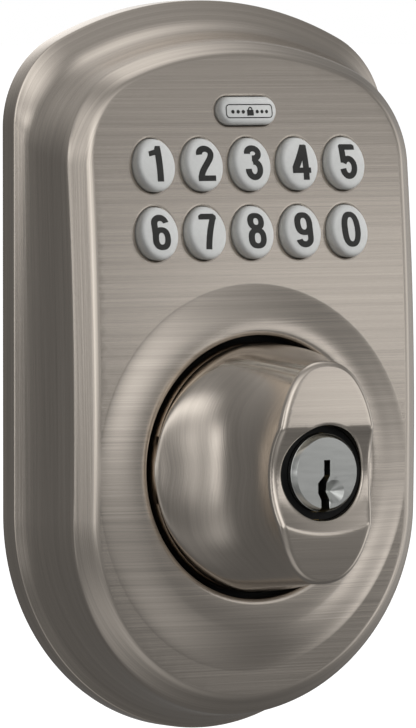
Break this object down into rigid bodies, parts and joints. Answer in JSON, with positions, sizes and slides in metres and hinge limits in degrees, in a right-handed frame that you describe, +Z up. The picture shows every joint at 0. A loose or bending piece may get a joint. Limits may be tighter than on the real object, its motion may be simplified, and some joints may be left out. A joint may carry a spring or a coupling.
{
  "type": "keypad door lock",
  "caption": "Exterior half of a keypad deadbolt lock: brushed nickel escutcheon with a push-button keypad above a turn knob that carries the key cylinder.",
  "frame": {"origin": "where the knob's axis meets the face of the door", "axes": "+Y into the door, so the front of the lock looks along -Y; +Z up along the escutcheon; +X to the right seen from the front"},
  "size_m": [0.072, 0.0904, 0.1198],
  "materials": {
    "satin_nickel": "satin brushed nickel plate, horizontal grain",
    "key_plastic": "light grey moulded key caps, soft sheen",
    "plug_chrome": "bright nickel, fine facing marks",
    "black_zinc": "gloss black",
    "zinc_steel": "zinc-plated steel",
    "brass": "machined brass",
    "spring_bronze": "drawn bronze wire",
    "black_rubber": "matt moulded rubber",
    "grey_silicone": "silicone rubber",
    "board_green": "solder-masked glass laminate",
    "black_plastic": "moulded black plastic",
    "cream_plastic": "moulded nylon",
    "lamp_lens": "clear tinted lens",
    "copper_winding": "enamelled copper wire",
    "lead_jacket": "red vinyl jacket"
  },
  "bodies": {
    "housing": {"escutcheon": "satin_nickel", "gasket": "black_rubber", "back_plate": "zinc_steel", "back_plate_screws": "zinc_steel", "bore_collar": "zinc_steel", "mounting_posts": "zinc_steel", "cable_grommet": "black_rubber", "keypad_mat": "grey_silicone", "circuit_board": "board_green", "board_chips": "black_plastic", "board_connector": "cream_plastic", "buzzer": "black_plastic", "status_lamps": "lamp_lens", "board_frame": "black_plastic", "board_screws": "zinc_steel", "hub_bushing": "brass", "solenoid_frame": "zinc_steel", "solenoid_screws": "zinc_steel", "solenoid_coil": "copper_winding", "clutch_spring": "spring_bronze", "clutch_lead": "lead_jacket"},
    "key_1_body": {"key_1": "key_plastic"},
    "key_2_body": {"key_2": "key_plastic"},
    "key_3_body": {"key_3": "key_plastic"},
    "key_4_body": {"key_4": "key_plastic"},
    "key_5_body": {"key_5": "key_plastic"},
    "key_6_body": {"key_6": "key_plastic"},
    "key_7_body": {"key_7": "key_plastic"},
    "key_8_body": {"key_8": "key_plastic"},
    "key_9_body": {"key_9": "key_plastic"},
    "key_0_body": {"key_0": "key_plastic"},
    "top_button_body": {"top_button": "key_plastic"},
    "clutch_pin_body": {"clutch_pin": "zinc_steel"},
    "knob_body": {"knob": "satin_nickel", "cylinder_bezel": "black_zinc", "cylinder_housing": "brass", "driver_pins": "zinc_steel", "pin_springs": "spring_bronze", "knob_cover": "black_zinc", "knob_cover_screws": "zinc_steel", "knob_spindle": "zinc_steel", "clutch_collar": "zinc_steel", "spindle_clip": "zinc_steel"},
    "plug_body": {"plug": "plug_chrome", "key_pins": "brass", "plug_clip": "zinc_steel", "tailpiece": "zinc_steel"}
  },
  "joints": [
    {"name": "key_1_press", "type": "slide", "parent": "housing", "child": "key_1_body", "axis": [0, 1, 0], "range_m": [0, 0.0009], "stiffness_N_per_m": 800},
    {"name": "key_2_press", "type": "slide", "parent": "housing", "child": "key_2_body", "axis": [0, 1, 0], "range_m": [0, 0.0009], "stiffness_N_per_m": 800},
    {"name": "key_3_press", "type": "slide", "parent": "housing", "child": "key_3_body", "axis": [0, 1, 0], "range_m": [0, 0.0009], "stiffness_N_per_m": 800},
    {"name": "key_4_press", "type": "slide", "parent": "housing", "child": "key_4_body", "axis": [0, 1, 0], "range_m": [0, 0.0009], "stiffness_N_per_m": 800},
    {"name": "key_5_press", "type": "slide", "parent": "housing", "child": "key_5_body", "axis": [0, 1, 0], "range_m": [0, 0.0009], "stiffness_N_per_m": 800},
    {"name": "key_6_press", "type": "slide", "parent": "housing", "child": "key_6_body", "axis": [0, 1, 0], "range_m": [0, 0.0009], "stiffness_N_per_m": 800},
    {"name": "key_7_press", "type": "slide", "parent": "housing", "child": "key_7_body", "axis": [0, 1, 0], "range_m": [0, 0.0009], "stiffness_N_per_m": 800},
    {"name": "key_8_press", "type": "slide", "parent": "housing", "child": "key_8_body", "axis": [0, 1, 0], "range_m": [0, 0.0009], "stiffness_N_per_m": 800},
    {"name": "key_9_press", "type": "slide", "parent": "housing", "child": "key_9_body", "axis": [0, 1, 0], "range_m": [0, 0.0009], "stiffness_N_per_m": 800},
    {"name": "key_0_press", "type": "slide", "parent": "housing", "child": "key_0_body", "axis": [0, 1, 0], "range_m": [0, 0.0009], "stiffness_N_per_m": 800},
    {"name": "top_button_press", "type": "slide", "parent": "housing", "child": "top_button_body", "axis": [0, 1, 0], "range_m": [0, 0.0009], "stiffness_N_per_m": 800},
    {"name": "clutch_pin_slide", "type": "slide", "parent": "housing", "child": "clutch_pin_body", "axis": [0, 0, -1], "range_m": [0, 0.003], "stiffness_N_per_m": 200, "springref_m": -0.002, "deforming": ["clutch_spring"]},
    {"name": "knob_turn", "type": "hinge", "parent": "housing", "child": "knob_body", "pos_m": [0, 0, 0], "axis": [0, 1, 0], "range_deg": [-90, 90]},
    {"name": "plug_turn", "type": "hinge", "parent": "knob_body", "child": "plug_body", "pos_m": [0, 0, 0], "axis": [0, 1, 0], "range_deg": [-90, 90]}
  ]
}
